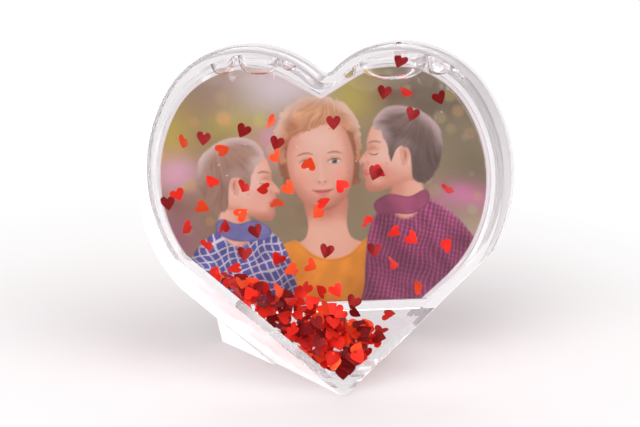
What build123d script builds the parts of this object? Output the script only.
from build123d import *
from math import acos, atan2, cos, degrees, hypot, radians, sin, sqrt, tan
import os

# Heart shaped photo frame: a clear, liquid filled heart that leans back on a hollow foot.
# Confetti hearts float in the liquid in front of a photograph held in a pocket at the back.
# The heart faces -Y, up is +Z, and the origin is on the surface it stands on, under its middle.

# Heart outline, seen square to the front
overall_width = 100.0
tip_half_angle = 50.8
side_arc_share = 0.425
side_arc_end_angle = 30.2
lobe_arc_share = 0.273
notch_radius = 2.2
tip_radius = 1.6

# Body, measured from the front face towards the back
lean_angle = 26.0
body_depth = 23.0
front_wall = 2.2
side_wall = 2.8
trough_back_wall = 2.0
window_thickness = 1.6
seam_share = 0.71
front_edge_chamfer = 1.0
lip_height = 1.2
lip_thickness = 1.3
lip_clearance = 0.05

# Pocket for the photograph, with its straight lower ledge
pocket_wall = 3.8
ledge_thickness = 2.2
pocket_bottom = 26.6
paper_clearance = 0.3
print_thickness = 0.3
card_thickness = 1.0

# Back cover that closes the pocket
cover_depth = 4.1
cover_clearance = 0.25
cover_plate = 2.0
cover_rim = 1.6
cover_rib = 1.4
finger_notch_radius = 6.0

# Foot
foot_depth = 44.5
foot_half_width = 26.2
foot_wall = 2.0

# Filling plug in the back wall of the trough
plug_radius = 2.5
plug_head_radius = 3.6
plug_head_thickness = 1.0
plug_clearance = 0.05
plug_floor_gap = 0.8

# Confetti, with the room that its hearts keep as shares of their width
confetti_width = 4.0
confetti_thickness = 0.12
confetti_folds = (0.0, 16.0, 34.0)
floating_room_share = 0.62
heap_room_share = 0.57
heap_layer_share = 1.1
heap_row_share = 1.08
heap_column_share = 1.28
heap_stagger_share = 0.33
heap_top_share = 0.39
clear_reach_share = 1.15

# Air left under the top of the liquid
bubble_depth = 4.0
liquid_film = 0.4

# Everything below follows from the sizes above
half_width = overall_width / 2
side_arc_radius = side_arc_share * overall_width
lobe_arc_radius = lobe_arc_share * overall_width
alpha = radians(tip_half_angle)
beta = radians(side_arc_end_angle)
lean = radians(lean_angle)

lower_run = (half_width - side_arc_radius * (1 - cos(alpha))) / sin(alpha)
side_centre = (half_width - side_arc_radius, lower_run * cos(alpha) + side_arc_radius * sin(alpha))
arc_step = side_arc_radius - lobe_arc_radius
lobe_centre = (side_centre[0] + arc_step * cos(beta), side_centre[1] + arc_step * sin(beta))
outline_height = lobe_centre[1] + lobe_arc_radius
notch_centre = (0, lobe_centre[1] + sqrt((lobe_arc_radius + notch_radius) ** 2 - lobe_centre[0] ** 2))

cover_front = body_depth - cover_depth
card_front = cover_front - card_thickness
window_back = card_front - print_thickness
window_front = window_back - window_thickness
liquid_depth = window_front - front_wall
seam_depth = front_wall + seam_share * liquid_depth
trough_top = pocket_bottom - ledge_thickness
trough_back = body_depth - trough_back_wall

# The front face leans back through the tip, which stands on the surface
tip_y = -(outline_height * sin(lean) + body_depth * cos(lean)) / 2
front = Plane(origin=(0, tip_y, 0), x_dir=(1, 0, 0), z_dir=(0, -cos(lean), sin(lean)))
front_axis = Axis(front.origin, front.z_dir)


def at_depth(depth):
    return front.offset(-depth)


def spot(across, up, depth):
    return front.from_local_coords(Vector(across, up, -depth))


# The planes that bound the foot and trim the heart's point where it meets the surface
tip = spot(0, 0, 0)
foot_top_reach = trough_top * tan(alpha)
shoulder_left = spot(-foot_top_reach, trough_top, body_depth)
shoulder_right = spot(foot_top_reach, trough_top, body_depth)
corner_left = Vector(-foot_half_width, tip_y + foot_depth, 0)
corner_right = Vector(foot_half_width, tip_y + foot_depth, 0)
floor_plane = Plane(origin=(0, 0, 0), x_dir=(1, 0, 0), z_dir=(0, 0, 1))
left_plane = Plane(origin=tip, z_dir=(corner_left - tip).cross(shoulder_left - tip))
right_plane = Plane(origin=tip, z_dir=(shoulder_right - tip).cross(corner_right - tip))
ramp_plane = Plane(origin=shoulder_left, z_dir=Vector(1, 0, 0).cross(corner_left - shoulder_left))


def heart_face(inset, tip_round=0.0, sharp_notch=False):
    """The heart outline, moved inwards by inset, on the XY plane with its tip side down."""
    side_r = side_arc_radius - inset
    lobe_r = lobe_arc_radius - inset
    notch_r = notch_radius + inset
    low = (0, inset / sin(alpha))
    high = (0, notch_centre[1] - notch_r)
    run_end = (side_centre[0] + side_r * cos(alpha), side_centre[1] - side_r * sin(alpha))
    target = high if sharp_notch else notch_centre
    reach = hypot(lobe_centre[0], target[1] - lobe_centre[1])
    lobe_turn = atan2(target[1] - lobe_centre[1], -lobe_centre[0]) - (acos(lobe_r / reach) if sharp_notch else 0)
    lobe_end = (lobe_centre[0] + lobe_r * cos(lobe_turn), lobe_centre[1] + lobe_r * sin(lobe_turn))
    with BuildSketch() as sketch:
        with BuildLine():
            Line(low, run_end)
            CenterArc(side_centre, side_r, -tip_half_angle, tip_half_angle + side_arc_end_angle)
            CenterArc(lobe_centre, lobe_r, side_arc_end_angle, degrees(lobe_turn) - side_arc_end_angle)
            if sharp_notch:
                Line(lobe_end, high)
            else:
                CenterArc(notch_centre, notch_r, degrees(lobe_turn) - 180, 90 - degrees(lobe_turn))
            mirror(about=Plane.YZ)
        make_face()
        if tip_round > 0:
            fillet(sketch.vertices().sort_by_distance((0, 0))[0], tip_round)
    return sketch.sketch


def trimmed_heart(inset, near, far):
    """A heart prism between two depths, kept inset from the surface and the foot's side planes."""
    with BuildPart() as prism:
        with BuildSketch(at_depth(near)):
            add(heart_face(inset))
        extrude(amount=near - far)
        split(bisect_by=floor_plane.offset(inset), keep=Keep.TOP)
        split(bisect_by=left_plane.offset(inset), keep=Keep.TOP)
        split(bisect_by=right_plane.offset(inset), keep=Keep.TOP)
    return prism.part


def above_ledge(inset, bottom):
    """The outline of what lies in the pocket: a heart with a straight lower edge."""
    with BuildSketch() as sketch:
        add(heart_face(inset, sharp_notch=True))
        with Locations((0, bottom)):
            Rectangle(overall_width, outline_height, align=(Align.CENTER, Align.MIN), mode=Mode.INTERSECT)
    return sketch.sketch


def foot_wedge(inset):
    """The wedge behind the heart, between its back face, the side planes, the ramp and the surface."""
    with BuildPart() as wedge:
        with BuildSketch(at_depth(body_depth)):
            Rectangle(2 * overall_width, 2 * outline_height)
        extrude(amount=-foot_depth)
        split(bisect_by=floor_plane, keep=Keep.TOP)
        split(bisect_by=left_plane.offset(inset), keep=Keep.TOP)
        split(bisect_by=right_plane.offset(inset), keep=Keep.TOP)
        split(bisect_by=ramp_plane.offset(-inset), keep=Keep.BOTTOM)
    return wedge.part


# Outer block of the whole heart, with its bevelled front edge
with BuildPart() as body_block:
    with BuildSketch(front):
        add(heart_face(0, tip_radius))
    extrude(amount=-body_depth)
    chamfer(body_block.faces().sort_by(front_axis)[-1].edges(), front_edge_chamfer)
    split(bisect_by=floor_plane, keep=Keep.TOP)
    split(bisect_by=left_plane, keep=Keep.TOP)
    split(bisect_by=right_plane, keep=Keep.TOP)

# Space that the liquid fills, with the deeper trough below the pocket
with BuildPart() as chamber:
    add(trimmed_heart(side_wall, window_front, trough_back))
    split(bisect_by=Plane(origin=spot(0, trough_top, 0), z_dir=front.y_dir), keep=Keep.BOTTOM)
    add(trimmed_heart(side_wall, front_wall, window_front))

# Glue lip of the rear half, which locates in the front half
lip_inset = side_wall - lip_thickness
with BuildPart() as glue_lip:
    add(trimmed_heart(lip_inset, seam_depth - lip_height, seam_depth))
    add(chamber.part, mode=Mode.SUBTRACT)

# Front half: the face and the front part of the side wall
with BuildPart() as front_shell:
    add(body_block.part)
    split(bisect_by=at_depth(seam_depth), keep=Keep.TOP)
    add(chamber.part, mode=Mode.SUBTRACT)
    add(trimmed_heart(lip_inset - lip_clearance, seam_depth - lip_height - lip_clearance, seam_depth),
        mode=Mode.SUBTRACT)
front_shell.part.label = "front_shell"

# Rear half: side wall, window, pocket walls, trough and foot in one moulding
plug_height = plug_head_radius + plug_floor_gap + (body_depth + plug_head_thickness) * tan(lean)
plug_spot = at_depth(trough_back).shift_origin(spot(0, plug_height, trough_back))
with BuildPart() as rear_shell:
    add(body_block.part)
    split(bisect_by=at_depth(seam_depth), keep=Keep.BOTTOM)
    add(glue_lip.part)
    add(chamber.part, mode=Mode.SUBTRACT)
    with BuildSketch(at_depth(window_back)):
        add(above_ledge(pocket_wall, pocket_bottom))
    extrude(amount=window_back - body_depth, mode=Mode.SUBTRACT)
    add(foot_wedge(0))
    add(foot_wedge(foot_wall), mode=Mode.SUBTRACT)
    with BuildSketch(plug_spot):
        Circle(plug_radius)
    extrude(amount=-trough_back_wall, mode=Mode.SUBTRACT)
rear_shell.part.label = "rear_shell"

# Stopper of the filling hole
with BuildPart() as fill_plug:
    with BuildSketch(plug_spot):
        Circle(plug_radius - plug_clearance)
    extrude(amount=-trough_back_wall)
    with BuildSketch(plug_spot.offset(-trough_back_wall)):
        Circle(plug_head_radius)
    extrude(amount=-plug_head_thickness)
fill_plug.part.label = "fill_plug"

# Photograph, its backing card and the cover that presses them to the window
paper_inset = pocket_wall + paper_clearance
paper_bottom = pocket_bottom + paper_clearance
with BuildPart() as photo_print:
    with BuildSketch(at_depth(window_back)):
        add(above_ledge(paper_inset, paper_bottom))
    extrude(amount=-print_thickness)
photo_print.part.label = "photo_print"

with BuildPart() as backing_card:
    with BuildSketch(at_depth(card_front)):
        add(above_ledge(paper_inset, paper_bottom))
    extrude(amount=-card_thickness)
backing_card.part.label = "backing_card"

cover_inset = pocket_wall + cover_clearance
cover_bottom = pocket_bottom + cover_clearance
cover_middle = (cover_bottom + outline_height) / 2
with BuildPart() as back_cover:
    with BuildSketch(at_depth(cover_front)):
        add(above_ledge(cover_inset, cover_bottom))
        add(above_ledge(cover_inset + cover_rim, cover_bottom + cover_rim), mode=Mode.SUBTRACT)
        with BuildSketch(mode=Mode.PRIVATE) as ribs:
            Rectangle(cover_rib, 2 * outline_height)
            with Locations((0, cover_middle)):
                Rectangle(overall_width, cover_rib)
            add(above_ledge(cover_inset, cover_bottom), mode=Mode.INTERSECT)
        add(ribs.sketch)
    extrude(amount=cover_front - body_depth)
    with BuildSketch(at_depth(body_depth - cover_plate)):
        add(above_ledge(cover_inset, cover_bottom))
    extrude(amount=-cover_plate)
    with BuildSketch(at_depth(cover_front)):
        with Locations((0, cover_bottom)):
            Circle(finger_notch_radius)
    extrude(amount=cover_front - body_depth, mode=Mode.SUBTRACT)
back_cover.part.label = "back_cover"

# Half of a confetti heart, as shares of its width, from the point to the notch
confetti_half_shares = ((0, -0.50), (0.49, 0.08), (0.43, 0.36), (0.18, 0.43), (0, 0.26))


def confetti_heart(fold):
    """One foil heart on the XY plane, bent along its middle by fold degrees on each side."""
    with BuildPart() as foil:
        with BuildSketch():
            with BuildLine():
                Polyline([(x * confetti_width, y * confetti_width) for x, y in confetti_half_shares])
                mirror(about=Plane.YZ)
            make_face()
        extrude(amount=confetti_width / 2, both=True)
        rise = confetti_width * tan(radians(fold)) / 2
        with BuildSketch(Plane.XZ.offset(-confetti_width)):
            with BuildLine():
                Polyline(
                    (-confetti_width / 2, rise / 2),
                    (0, -rise / 2),
                    (confetti_width / 2, rise / 2),
                    (confetti_width / 2, rise / 2 + confetti_thickness),
                    (0, confetti_thickness - rise / 2),
                    (-confetti_width / 2, rise / 2 + confetti_thickness),
                    close=True,
                )
            make_face()
        extrude(amount=2 * confetti_width, mode=Mode.INTERSECT)
    return foil.part


# Floating hearts, chosen by eye: colour, share of the width off the middle, share of the height, layer
floating_shares = (
    ("dark_red", 0.213, 0.945, 1),
    ("dark_red", 0.169, 0.860, 2),
    ("red", 0.240, 0.865, 2),
    ("dark_red", 0.312, 0.830, 0),
    ("dark_red", 0.236, 0.790, 1),
    ("dark_red", 0.014, 0.766, 0),
    ("orange", -0.155, 0.780, 1),
    ("dark_red", -0.236, 0.750, 0),
    ("dark_red", -0.342, 0.730, 0),
    ("orange", -0.392, 0.728, 1),
    ("orange", -0.278, 0.713, 1),
    ("dark_red", -0.135, 0.722, 2),
    ("orange", -0.144, 0.676, 0),
    ("orange", -0.050, 0.670, 1),
    ("dark_red", 0.118, 0.620, 0),
    ("red", 0.152, 0.636, 2),
    ("red", 0.022, 0.602, 0),
    ("red", 0.320, 0.570, 0),
    ("red", 0.319, 0.430, 1),
    ("red", 0.156, 0.456, 0),
    ("red", 0.224, 0.440, 1),
    ("red", 0.097, 0.504, 1),
    ("dark_red", 0.108, 0.402, 0),
    ("red", 0.177, 0.377, 2),
    ("orange", 0.218, 0.310, 0),
    ("red", -0.410, 0.580, 1),
    ("dark_red", -0.435, 0.560, 2),
    ("red", -0.400, 0.482, 0),
    ("orange", -0.340, 0.546, 1),
    ("red", -0.320, 0.634, 2),
    ("red", -0.239, 0.594, 0),
    ("orange", -0.236, 0.532, 1),
    ("red", -0.183, 0.600, 2),
    ("orange", -0.106, 0.590, 1),
    ("orange", -0.150, 0.556, 0),
    ("orange", -0.034, 0.524, 2),
    ("red", -0.012, 0.558, 1),
    ("dark_red", -0.209, 0.466, 0),
    ("red", -0.338, 0.434, 1),
    ("dark_red", -0.245, 0.403, 0),
    ("orange", -0.123, 0.363, 1),
    ("orange", -0.061, 0.369, 0),
    ("dark_red", -0.019, 0.408, 1),
    ("red", -0.148, 0.395, 2),
    ("orange", -0.152, 0.307, 0),
    ("red", -0.042, 0.310, 1),
    ("red", 0.002, 0.293, 0),
    ("red", -0.285, 0.505, 2),
    ("dark_red", 0.046, 0.262, 1),
    ("red", 0.146, 0.228, 0),
    ("orange", 0.085, 0.215, 2),
    ("red", 0.105, 0.160, 1),
)
# Air bubbles: share of the width off the middle, share of the height, half width, half height, slope
bubble_shares = (
    (-0.279, 0.925, 0.033, 0.031, 24),
    (-0.180, 0.935, 0.058, 0.031, 4),
    (-0.094, 0.925, 0.022, 0.019, -24),
    (0.064, 0.885, 0.022, 0.032, 20),
    (0.191, 0.900, 0.098, 0.052, 0),
    (0.324, 0.890, 0.028, 0.044, -34),
    (0.375, 0.862, 0.021, 0.020, -44),
)
heap_colours = ("red", "orange", "dark_red", "red", "red", "orange", "red", "dark_red")
# The heap's right edge: share of the heap's height, share of the width off the middle
heap_edge_shares = ((0.0, 0.26), (0.55, 0.12), (0.78, -0.04), (0.88, -0.21), (1.0, -0.33))
# Steps from heart to heart, and how far hearts spin, tilt and turn in all, in degrees
spin_step, tilt_step, turn_step = 137.5, 53.0, 37.0
facing_swings = (60.0, 20.0, 30.0)
tumbling_swings = (360.0, 100.0, 110.0)


def heart_pose(across, up, depth, number, swings):
    """Where one confetti heart lies, with a spin, a tilt and a turn of its own."""
    spin, tilt, turn = (
        (number * step) % swing - swing / 2 for step, swing in zip((spin_step, tilt_step, turn_step), swings)
    )
    return front.location * Location((across, up, -depth), (tilt, turn, spin))


def heap_edge(up):
    """How far right the heap reaches at a height, falling from the left wall to the right."""
    for (low, start), (high, end) in zip(heap_edge_shares, heap_edge_shares[1:]):
        if up <= high * heap_top:
            break
    return overall_width * (start + (end - start) * (up / heap_top - low) / (high - low))


def inside_trough(across, up, depth):
    """Whether a heart there keeps clear of the walls, the surface and the ledge."""
    here = spot(across, up, depth)
    room = side_wall + heap_room
    flanks = (floor_plane, left_plane, right_plane)
    clear = all(plane.to_local_coords(here).Z >= room for plane in flanks)
    wall_room = up * sin(alpha) - abs(across) * cos(alpha)
    return clear and wall_room >= room and (depth < window_front - heap_room or up < trough_top - heap_room)


def clear_of_floating(across, up, depth):
    """Whether a heart there keeps clear of the floating ones."""
    return all(hypot(across - a, up - u, depth - d) >= clear_reach for a, u, d in floating_spots)


confetti_places = {"red": [], "dark_red": [], "orange": []}
floating_room = floating_room_share * confetti_width
floating_step = (liquid_depth - 2 * floating_room) / 2
floating_spots = []
for number, (colour, across_share, up_share, layer) in enumerate(floating_shares):
    depth = front_wall + floating_room + floating_step * layer
    swings = facing_swings if colour == "dark_red" else tumbling_swings
    floating_spots.append((across_share * overall_width, up_share * outline_height, depth))
    confetti_places[colour].append(heart_pose(*floating_spots[-1], number, swings))

heap_top = heap_top_share * outline_height
heap_room = heap_room_share * confetti_width
clear_reach = clear_reach_share * confetti_width
layer_gap = heap_layer_share * confetti_width
row_gap = heap_row_share * confetti_width
column_gap = heap_column_share * confetti_width
number = 0
for layer in range(int((trough_back - front_wall) / layer_gap)):
    depth = front_wall + layer_gap * (layer + 1 / 2)
    for row in range(int(heap_top / row_gap)):
        up = side_wall + heap_room + row_gap * (row + heap_stagger_share * layer)
        for column in range(-int(half_width / column_gap), int(half_width / column_gap)):
            across = column_gap * (column + ((row + layer) % 2) / 2)
            if up > heap_top or across > heap_edge(up) or not inside_trough(across, up, depth):
                continue
            if not clear_of_floating(across, up, depth):
                continue
            number += 1
            colour = heap_colours[number % len(heap_colours)]
            confetti_places[colour].append(heart_pose(across, up, depth, number, tumbling_swings))

hearts = [confetti_heart(fold) for fold in confetti_folds]


def confetti_group(places):
    """All hearts of one colour, as separate solids in one part."""
    with BuildPart() as group:
        for kind, heart in enumerate(hearts):
            with Locations(places[kind :: len(hearts)]):
                add(heart)
    return group


confetti_red = confetti_group(confetti_places["red"])
confetti_red.part.label = "confetti_red"
confetti_dark_red = confetti_group(confetti_places["dark_red"])
confetti_dark_red.part.label = "confetti_dark_red"
confetti_orange = confetti_group(confetti_places["orange"])
confetti_orange.part.label = "confetti_orange"

# The liquid fills the chamber around the hearts and the air bubbles
with BuildPart() as liquid_fill:
    add(chamber.part)
    for across_share, up_share, wide_share, high_share, slope in bubble_shares:
        with BuildSketch(at_depth(front_wall + liquid_film)):
            with Locations((across_share * overall_width, up_share * outline_height)):
                Ellipse(wide_share * overall_width, high_share * outline_height, rotation=slope)
            add(heart_face(side_wall + liquid_film), mode=Mode.INTERSECT)
        extrude(amount=-bubble_depth, mode=Mode.SUBTRACT)
    for group in (confetti_red, confetti_dark_red, confetti_orange):
        add(group.part, mode=Mode.SUBTRACT)
liquid_fill.part.label = "liquid_fill"

os.makedirs("parts", exist_ok=True)
export_step(front_shell.part, "parts/front_shell.step")
export_step(rear_shell.part, "parts/rear_shell.step")
export_step(fill_plug.part, "parts/fill_plug.step")
export_step(liquid_fill.part, "parts/liquid_fill.step")
export_step(confetti_red.part, "parts/confetti_red.step")
export_step(confetti_dark_red.part, "parts/confetti_dark_red.step")
export_step(confetti_orange.part, "parts/confetti_orange.step")
export_step(photo_print.part, "parts/photo_print.step")
export_step(backing_card.part, "parts/backing_card.step")
export_step(back_cover.part, "parts/back_cover.step")
